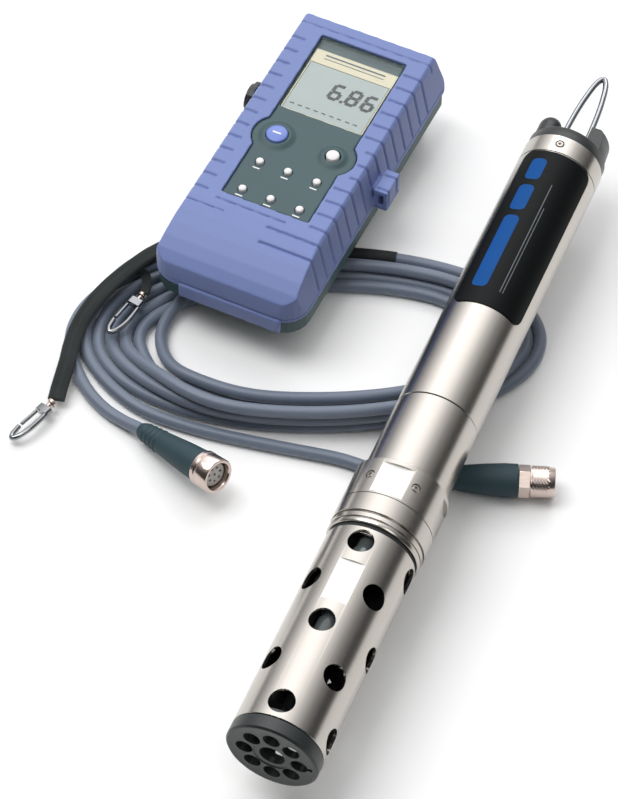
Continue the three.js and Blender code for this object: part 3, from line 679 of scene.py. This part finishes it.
def make_guard():
    wall = turned([[21.75, 7.9], [23.0, 7.9], [23.25, 8.15], [23.25, 120.9], [23.0, 121.2], [21.75, 121.2],
                   [21.75, 7.9]], 128)
    holes = []
    for ring_number in range(5):
        turn = GUARD_TURN + (ring_number % 2) * 45
        for quarter in range(4):
            holes.append(radial(6.5, 18, 26, 17 + ring_number * 24, turn + quarter * 90, 48))
    flat = block((GUARD_FLAT_MM, 30), (77, 101), (-12, 12))
    holes.append(moved(flat, Matrix.Rotation(-math.radians(FLAT_ANGLE), 4, "Y")))
    tube = finished("guard_tube", combined(wall, holes), SONDE, BRUSHED, "guard",
                    ["sensor_guard"], 0.22)
    # The tube's inside wall gets the dark grey finish: painted shade inside the guard.
    refinished(tube, SENSORS_AND_PAINTED_SHADE, lambda c: math.hypot(*off_axis(c)) < 21.9)
    # The flat that faces up gets the paler milled finish: a painted highlight.
    refinished(tube, MILLED_PAINTED_HIGHLIGHT, lambda c: on_flat(c, GUARD_FLAT_MM))

    cup = turned([[0, 0.7], [9, 0.7], [9.5, 0.2], [20.3, 0.2], [21, 0], [22.3, 0], [23.25, 0.9], [23.25, 7.2],
                  [22.9, 7.6], [21.4, 7.6], [21.4, 13], [19.8, 13], [19.8, 4], [0, 4]], 128)
    ports = [turned([[0, -1], [6.4, -1], [6.4, 6], [0, 6]], 48)]
    ports += ring_of(lambda: turned([[0, -1], [4.3, -1], [4.3, 6], [0, 6]], 40), 8, 13.8)
    finished("end_cap", combined(cup, ports), SONDE, BLACK, "guard", ["guard_end_cap"], 0.3)


def make_collar():
    nose = turned([[20, 118.5], [21.4, 118.5], [21.4, 123.2], [23.6, 123.2], [24.1, 123.9], [24.1, 125.6],
                   [23.3, 125.6], [23.3, 126.6], [24.1, 126.6], [24.1, 129.1], [23.3, 129.1], [23.3, 130.1],
                   [24.6, 130.1], [24.6, 140.6], [20, 140.6], [20, 118.5]], 128)
    finished("nose_ring", nose, SONDE, BRUSHED, "sonde", ["collar_nose_ring"], 0.15)
    shoulder = turned([[20, 140.9], [24.6, 140.9], [24.6, 162.4], [22.9, 163.8], [22.05, 163.8],
                       [22.05, 155.5], [20, 155.5], [20, 140.9]], 128)
    cuts = []
    for side in range(4):
        flat = block((COLLAR_FLAT_MM, 30), (142, 160), (-15, 15))
        cuts.append(moved(flat, Matrix.Rotation(-math.radians(FLAT_ANGLE + side * 90), 4, "Y")))
    for side in (-1, 1):
        cuts.append(radial(2.4, 22.6, 30, 152, FLAT_ANGLE + side * 29.2))
    collar = finished("wrench_collar", combined(shoulder, cuts), SONDE, BRUSHED, "sonde",
                      ["collar_block"], 0.18)
    # The collar's flat that faces up gets the paler milled finish: a painted highlight.
    refinished(collar, MILLED_PAINTED_HIGHLIGHT, lambda c: on_flat(c, COLLAR_FLAT_MM))


def screw_head(name, radius, inner, outer, station, angle, replaced):
    """A socket head screw that points outwards, with its six-sided recess."""
    head = turned([[0, inner], [radius, inner], [radius, outer - 0.45], [radius - 0.4, outer],
                   [0, outer]], 40)
    recess = turned([[0, outer - 0.9], [radius * 0.45, outer - 0.9], [radius * 0.45, outer + 1],
                     [0, outer + 1]], 6)
    out = Matrix.Rotation(math.pi / 2, 4, "X") @ Matrix.Rotation(math.radians(angle - 90), 4, "Z")
    place = SONDE @ Matrix.Translation((0, station, 0)) @ out
    finished(name, combined(head, [recess]), place, SATIN, "sonde", [replaced], 0.1)


def make_barrel():
    for name, start, end in [("lower_body", 156, 207.65), ("upper_body", 207.95, 378)]:
        tube = turned([[20.25, start], [21.45, start], [21.75, start + 0.3], [21.75, end - 0.3], [21.45, end],
                       [20.25, end], [20.25, start]], 160)
        finished(name, tube, SONDE, BRUSHED, "sonde", [name + "_tube"], 0)
    make_label()


def arc_patch(stations, angles, radius, thickness, corner=0.0):
    """A thin rectangle wrapped round the sonde, with rounded corners."""
    middle = (stations[0] + stations[1]) / 2
    half = (stations[1] - stations[0]) / 2
    width = math.radians(angles[1] - angles[0]) * radius / 2
    bm = bmesh.new()
    rows_made = []
    columns_count = 48
    for i in range(columns_count + 1):
        across = -width + 2 * width * i / columns_count
        inside = max(0.0, abs(across) - (width - corner))
        cut_back = corner - math.sqrt(max(0.0, corner ** 2 - inside ** 2)) if corner else 0
        angle = math.radians(angles[0]) + (across + width) / radius
        line = []
        for r in (radius, radius + thickness):
            for s in (-1, 1):
                station = middle + s * (half - cut_back)
                line.append(bm.verts.new((r * math.cos(angle), station, r * math.sin(angle))))
        rows_made.append([line[0], line[1], line[3], line[2]])
    for low, high in zip(rows_made, rows_made[1:]):
        for k in range(4):
            m = (k + 1) % 4
            bm.faces.new((low[k], low[m], high[m], high[k]))
    bm.faces.new(rows_made[0])
    bm.faces.new(rows_made[-1][::-1])
    bmesh.ops.recalc_face_normals(bm, faces=bm.faces)
    return bm


LABEL_RADIUS, LABEL_PRINT = 22.3, 0.06  # of the label's face, and how far its print stands above it


def make_label():
    """The film round the sonde, with blank bars and rules where it carries print."""
    film = arc_patch((269.5, 377), (29, 137), 22.0, 0.3, 5)
    finished("body_label", film, SONDE, LABEL, "sonde", ["label_film"], 0)
    bars = [arc_patch(stations, (96, 118), LABEL_RADIUS, LABEL_PRINT, 3)
            for stations in ((280, 330), (334, 352), (356, 371))]
    finished("label_bars", gathered(bars), SONDE, PRINT, "sonde", (), 0)
    rules = [arc_patch(stations, angles, LABEL_RADIUS, LABEL_PRINT, 0.2)
             for stations, angles in (((280, 356), (76, 77.2)), ((280, 340), (72, 73)))]
    finished("label_rules", gathered(rules), SONDE, MARK, "sonde", (), 0)


def make_top():
    band = turned([[18, 370.5], [19.95, 370.5], [19.95, 378.3], [21.75, 378.3], [21.75, 389.3], [18, 389.3],
                   [18, 370.5]], 128)
    finished("upper_ring", combined(band, [radial(2.5, 20.4, 26, 383.8, 92)]), SONDE, BRUSHED, "sonde",
             ["top_ring"], 0.25)
    screw_head("upper_ring_screw", 2.1, 20.7, 21.9, 383.8, 92, "top_ring_screw")
    screw_head("collar_screw_head_right", 2.0, 22.9, 24.7, 152, 63.3, "collar_screw_right")
    screw_head("collar_screw_head_left", 2.0, 22.9, 24.7, 152, 121.7, "collar_screw_left")
    disc = turned([[0, 380], [17.7, 380], [17.7, 389.6], [21.3, 389.6], [21.3, 395.4], [20.4, 396.6],
                   [19, 396.6], [18.6, 396.1], [0, 396.1]], 128)
    ear = turned([[0, 392], [20.8, 392], [19.4, 408], [17.8, 409.8], [0, 409.8]], 128)
    ear = combined(ear, [block((8.4, 25), (393, 420), (-11.5, 11.5))], "INTERSECT")
    cap = combined(disc, [ear], "UNION")
    cap = combined(cap, [block((-4, 4), (395, 408), (-4.6, 4.6))], "UNION")
    pin = turned([[0, -6], [1.95, -6], [1.95, 6], [0, 6]], 32)
    pin = moved(pin, Matrix.Translation((0, 404.6, 0)) @ Matrix.Rotation(math.pi / 2, 4, "Z"))
    finished("end_housing", combined(cap, [pin]), SONDE, BLACK, "sonde", ["top_cap"], 0.35)
    mouth = turned([[0, 396.9], [6, 396.9], [6, 398.4], [4.9, 398.4], [4.9, 410.5], [3.9, 410.5], [3.9, 404],
                    [0, 404]], 64)
    finished("receptacle_mouth", mouth, RECEPTACLE, NICKEL, "sonde", ["cable_receptacle"], 0.15)
    cover = turned([[5.2, 398.8], [6.2, 398.8], [6.2, 409.9], [5.9, 411.4], [5.2, 413.1], [4.2, 414.4],
                    [3, 415.1], [1.5, 415.5], [0, 415.6], [0, 412], [5.2, 412], [5.2, 398.8]], 64)
    finished("receptacle_cover", cover, RECEPTACLE, BLACK, "dust_cap",
             ["receptacle_cap"], 0.15)
    bail = [[-1.2, 404.6, 0], [-4.7, 404.6, 0], [-5.9, 406.2, 0], [-6.1, 418.6, 0], [-4.6, 438, 0],
            [-2.2, 450.5, 0], [0, 453.8, 0], [2.2, 450.5, 0], [4.6, 438, 0], [6.1, 418.6, 0], [5.9, 406.2, 0],
            [4.7, 404.6, 0], [1.2, 404.6, 0]]
    wire = swept(resample(bail, 0.8), circle(1.6, 24))
    finished("bail_wire", wire, SONDE, CHROME, "bail", ["lifting_bail"], 0)


def make_sensors():
    """Dark sensor bodies behind the guard's holes: a stepped foot, a grooved sleeve and a tip."""
    places = {"dissolved_oxygen_sensor": (None, 22, 5.4, SENSORS_AND_PAINTED_SHADE), "ph_sensor": (90, 30, 3.4, SENSOR_GLASS),
              "orp_sensor": (150, 34, 3.2, SENSORS_AND_PAINTED_SHADE), "conductivity_cell": (210, 27, 5.6, SENSORS_AND_PAINTED_SHADE),
              "turbidity_cell": (270, 46, 5.4, SENSORS_AND_PAINTED_SHADE), "temperature_probe": (330, 40, 2.6, SENSORS_AND_PAINTED_SHADE)}
    for name, (angle, tip, nose, look) in places.items():
        wide = 5.4 if angle is None else 6.1
        shape = turned([[0, tip], [nose * 0.6, tip], [nose, tip + 2], [nose, tip + 12], [wide, tip + 15],
                        [wide, 70], [wide - 0.5, 70.5], [wide - 0.5, 72], [wide, 72.5], [wide, 112],
                        [wide - 1, 114], [wide - 1, 125.6], [0, 125.6]], 40)
        if angle is not None:
            offset = (13 * math.cos(math.radians(angle)), 0, 13 * math.sin(math.radians(angle)))
            shape = moved(shape, Matrix.Translation(offset))
        finished(name + "_body", shape, SONDE, look, "sonde", [name], 0)


make_guard()
make_sensors()
make_collar()
make_barrel()
make_top()

# ---------------------------------------------------------------- meter

RIB_PITCH = 9.6
RIB_FIRST, RIB_LAST = -57.0, 82.0
DISPLAY_PRINT_Z = (33.92, 33.98)  # what the display shows, as a film just above its glass
KEY_COLUMNS, KEY_ROWS = (-14.3, 1.9, 18.5), (-9.3, -29.7)


def groove(distance, half_width):
    """Depth from 0 to 1 of a narrow groove, by the distance to its middle."""
    return np.clip(1.25 - 1.25 * np.abs(distance) / half_width, 0, 1)


def boot_relief(x, y, z):
    """How far the boot's surface is sunk or raised, in millimetres, at a place in the meter's own frame."""
    nearest = np.round((y - RIB_FIRST) / RIB_PITCH) * RIB_PITCH + RIB_FIRST
    ribs = groove(y - nearest, 1.05)
    ribs *= (nearest >= RIB_FIRST - 0.1) & (nearest <= RIB_LAST)
    inner_end = np.where(nearest < -38, 8.0, np.where((y > -6) & (y < 25), 32.5, 27.8))
    right = np.clip((x - inner_end) / 1.0, 0, 1)
    left = np.clip((-x - 29.5) / 1.0, 0, 1) * (nearest > -45)
    ribs *= np.where(x > 0, right, left)
    ribs *= np.clip((z - 12.0) / 1.5, 0, 1)
    band = groove(y - 89.5, 0.7) * (z > 31)
    sill = groove(y + 41.0, 0.8) * (np.abs(x + 4) < 20) * (z > 30)
    line = groove(y + 47.5, 0.7) * (x < -16) * (z > 14)
    hem = groove(z - 12.2, 0.6)
    return -1.15 * ribs - 0.7 * band - 0.9 * sill - 0.7 * line - 0.5 * hem


def cad_copy(node, voxel_mm, smoothing, relief=None):
    """A node's shape as a fine even mesh with its edges rounded over, in the meter's own millimetres."""
    copy = placed("copy", NODES[node].data.copy())
    even = copy.modifiers.new("even", "REMESH")
    even.mode = "VOXEL"
    even.voxel_size = voxel_mm / 1000
    round_over = copy.modifiers.new("round", "SMOOTH")
    round_over.factor = 0.5
    round_over.iterations = smoothing
    bm = baked(copy)
    bm.transform(METER.inverted() @ TO_ROW.inverted())
    if relief is not None:
        bm.normal_update()
        places = np.array([v.co for v in bm.verts])
        normals = np.array([v.normal for v in bm.verts])
        middle = np.array([0.0, 0.0, 18.0])
        outward = ((places - middle) * normals).sum(axis=1) > 0
        shift = relief(places[:, 0], places[:, 1], places[:, 2]) * outward
        for v, p, n, s in zip(bm.verts, places, normals, shift):
            v.co = p + n * s
    return bm


def seven_segments(digit, left, bottom, height):
    """The lit bars of one digit as thin slanted blocks."""
    lit = {"6": "acdefg", "8": "abcdefg"}[digit]
    width, bar = height * 0.5, height * 0.2
    spans = {"a": (0, 2, 1, 2), "d": (0, 0, 1, 0), "g": (0, 1, 1, 1), "f": (0, 1, 0, 2), "b": (1, 1, 1, 2),
             "e": (0, 0, 0, 1), "c": (1, 0, 1, 1)}
    bars = []
    for key in lit:
        x0, y0, x1, y1 = spans[key]
        low = (left + x0 * width - bar / 2, bottom + y0 * height / 2 - bar / 2)
        high = (left + x1 * width + bar / 2, bottom + y1 * height / 2 + bar / 2)
        trim = bar * 0.65
        if x0 == x1:
            low, high = (low[0], low[1] + trim), (high[0], high[1] - trim)
        else:
            low, high = (low[0] + trim, low[1]), (high[0] - trim, high[1])
        part = block((low[0], high[0]), (low[1], high[1]), DISPLAY_PRINT_Z)
        for v in part.verts:
            v.co.x += (v.co.y - bottom) * 0.12
        bars.append(part)
    return bars


def make_meter():
    finished("rubber_boot", cad_copy("meter_boot", 0.5, 6, boot_relief), METER, BOOT, "meter",
             ["meter_boot"], 0, 75)
    finished("keypad_case", cad_copy("meter_front_case", 0.6, 3), METER, CASE, "meter",
             ["meter_front_case"], 0, 75)
    lip = block((-25, 33), (-84.1, -81), (2.2, 12.2))
    finished("boot_lip", lip, METER, BOOT, "meter", (), 1.2)
    captions = []
    for y in KEY_ROWS:
        for x in KEY_COLUMNS:
            captions.append(block((x - 2.0, x + 2.0), (y - 4.9, y - 4.2), (35.41, 35.46)))
    captions.append(block((-16.5, -11.7), (9.9, 10.9), (38.31, 38.35)))
    finished("key_captions", gathered(captions), METER, WHITE, "meter", (), 0)
    marks = []
    for digit, left in [("6", -2.6), ("8", 7.4), ("6", 16.4)]:
        marks += seven_segments(digit, left, 47.5, 10)
    marks.append(block((4.3, 6.1), (46.6, 48.4), DISPLAY_PRINT_Z))
    for i in range(9):
        marks.append(block((-19 + i * 4.6, -16.6 + i * 4.6), (35.6, 36.4), DISPLAY_PRINT_Z))
    finished("display_digits", gathered(marks), METER, INK, "meter", (), 0)
    edge_heights = (32.6, 34.1)
    sill = gathered([block((-22.2, 25.2), (30.9, 31.5), edge_heights),
                     block((-22.2, -21.6), (31, 67), edge_heights),
                     block((24.6, 25.2), (31, 67), edge_heights)])
    finished("display_frame", sill, METER, CREAM, "meter", (), 0.1)
    stripes = [block((-16, 19), height, DISPLAY_PRINT_Z) for height in ((71.4, 71.9), (73.6, 74.6))]
    finished("title_stripes", gathered(stripes), METER, CASE, "meter", (), 0)
    buttons = {"mode_button": (-14.1, 10.5, 5.7, BLUE_BUTTON, "blue_button"),
               "power_button": (18.7, 9.6, 3.5, WHITE, "white_button")}
    for i in range(6):
        x, y = KEY_COLUMNS[i % 3], KEY_ROWS[i // 3]
        buttons[f"key_{i + 1}"] = (x, y, 2.1, WHITE, "white_button")
    for name, (x, y, radius, look, slot_name) in buttons.items():
        top = 35.4 + (2.9 if radius > 3 else 1.7)
        dome = [[radius * math.cos(t), top - 0.9 + 0.9 * math.sin(t)] for t in np.linspace(0, math.pi / 2, 8)]
        dome[-1][0] = 0
        shape = turned([[0, 28.6], [radius + 1.2, 28.6], [radius + 1.2, 29.4], [radius, 29.4], *dome], 48)
        place = METER @ Matrix.Translation((x, y, 0)) @ Matrix.Rotation(math.pi / 2, 4, "X")
        finished(name + "_cap", shape, place, look, name, [name], 0)


make_meter()

# ---------------------------------------------------------------- strap and hooks


def make_strap():
    main = [[-177, 267, 26.4], [-182.9, 262.6, 22.5], [-190.4, 254.6, 16.6], [-195.1, 244.6, 15],
            [-198.4, 232.5, 14.4], [-200.1, 222.5, 13], [-200.5, 212.4, 11], [-199.2, 202.3, 10],
            [-196.9, 192.7, 9.6], [-195.6, 184.8, 8.4], [-194.2, 176.3, 7], [-192.8, 170.2, 6.6]]
    branch = [[-189, 256, 15.5], [-183.5, 258, 14], [-179.7, 254, 12.6], [-178.2, 249.4, 12],
              [-178, 246.6, 12]]
    band = swept(resample(main, 1.0), rounded(9, 3.0, 1.4))
    loop = swept(resample(branch, 1.0), rounded(5.2, 1.7, 0.7))
    finished("webbing", gathered([band, loop]), Matrix.Identity(4), STRAP, "meter",
             ["carry_strap"], 0)


def make_hook(tag, place):
    swivel = turned([[0, 0], [2.6, 0], [2.6, 1.6], [1.6, 2.2], [1.6, 4.2], [0, 4.2]], 40)
    finished(f"hook_{tag}_pivot", swivel, place, NICKEL, "meter", [f"hook_{tag}_swivel"], 0.2)
    jaw = [[-3.1, 8, 0], [-3.5, 14, 0], [-3.4, 21, 0], [-1.7, 27.4, 0], [0.2, 29.4, 0], [1.9, 27.4, 0],
           [3.1, 21.6, 0]]
    eye = swept([(0, 4.5, 0), (0, 5.2, 0), (0, 6.5, 0), (0, 7.9, 0), (0, 8.6, 0)], rounded(8.6, 4, 1.6))
    shape = combined(swept(resample(jaw, 0.6), circle(1.4, 24)), [eye], "UNION")
    finished(f"hook_{tag}_jaw", shape, place, CHROME, f"hook_{tag}", [f"hook_{tag}_body"], 0)
    bar = turned([[0, 9.2], [0.8, 9.2], [1.05, 9.5], [1.05, 19.9], [0.8, 20.2], [0, 20.2]], 32)
    finished(f"hook_{tag}_spring_bar", bar, place @ Matrix.Translation((3.1, 0, 0)), CHROME, f"gate_{tag}",
             [f"hook_{tag}_gate"], 0)


make_strap()
make_hook("a", HOOK_A)
make_hook("b", HOOK_B)

# ---------------------------------------------------------------- finishes of the CAD nodes that stay

STAYING = {
    BLACK: ["tube_joiner", "meter_socket"],
    SATIN: ["sensor_head_plate"],
    RUBBER: ["guard_o_ring"],
    BOARD: ["sonde_circuit_board", "meter_circuit_board"],
    GLASS: ["display_window"],
    SCREEN: ["lcd_module"],
    CREAM: ["title_strip"],
    CASE: ["meter_back_case", "battery_door"],
    CELL: ["battery_cell_left", "battery_cell_right"],
}
for look, names in STAYING.items():
    for name in names:
        node = NODES[name]
        node.data.materials.clear()
        node.data.materials.append(look)
        if name in ("meter_back_case", "battery_door", "meter_socket"):
            soft = node.modifiers.new("soft_edges", "BEVEL")
            soft.width = 0.0008
            soft.segments = 3
            soft.limit_method = "ANGLE"
            soft.angle_limit = math.radians(35)

# ---------------------------------------------------------------- floor and light


def make_stage():
    bm = bmesh.new()
    bmesh.ops.create_grid(bm, x_segments=8, y_segments=8, size=3)
    mesh = bpy.data.meshes.new("floor")
    bm.to_mesh(mesh)
    bm.free()
    floor = placed("floor", mesh)
    mesh.materials.append(material("floor", (244, 244, 243), 0.85, 0.0, (60, 60, 60), 0.05, 2, 0.01))


def softbox(name, place, target, size, power):
    data = bpy.data.lights.new(name, "AREA")
    data.shape = "RECTANGLE"
    data.size, data.size_y = size
    data.energy = power
    lamp = placed(name, data)
    lamp.location = place
    lamp.rotation_mode = "QUATERNION"
    lamp.rotation_quaternion = (Vector(target) - Vector(place)).to_track_quat("-Z", "Y")


def make_light():
    world = bpy.data.worlds.new("studio")
    bpy.context.scene.world = world
    world.use_nodes = True
    nodes, links = world.node_tree.nodes, world.node_tree.links
    backdrop = nodes["Background"]
    backdrop.inputs["Strength"].default_value = 1.0
    where = nodes.new("ShaderNodeTexCoord")
    towards = nodes.new("ShaderNodeVectorMath")
    towards.operation = "DOT_PRODUCT"
    towards.inputs[1].default_value = Vector((-0.27, 0.55, 0.79)).normalized()
    ramp = nodes.new("ShaderNodeValToRGB")
    levels = [(0.0, 0.05), (0.3, 0.09), (0.6, 0.4), (0.8, 0.95), (0.93, 1.7), (1.0, 2.1)]
    while len(ramp.color_ramp.elements) < len(levels):
        ramp.color_ramp.elements.new(0.5)
    for element, (position, level) in zip(ramp.color_ramp.elements, levels):
        element.position = position
        element.color = (level, level, level * 1.02, 1)
    links.new(where.outputs["Generated"], towards.inputs[0])
    links.new(towards.outputs["Value"], ramp.inputs["Fac"])
    links.new(ramp.outputs["Color"], backdrop.inputs["Color"])
    softbox("key", (-0.7, -0.1, 1.7), (0, 0, 0), (0.8, 1.4), 17)
    softbox("fill", (0.9, -0.6, 1.6), (0, 0, 0), (0.9, 0.9), 5)
    softbox("back", (-0.2, 1.5, 1.2), (0, 0.1, 0), (1.4, 0.4), 5)


make_stage()
make_light()
bpy.context.scene.view_settings.view_transform = "Standard"
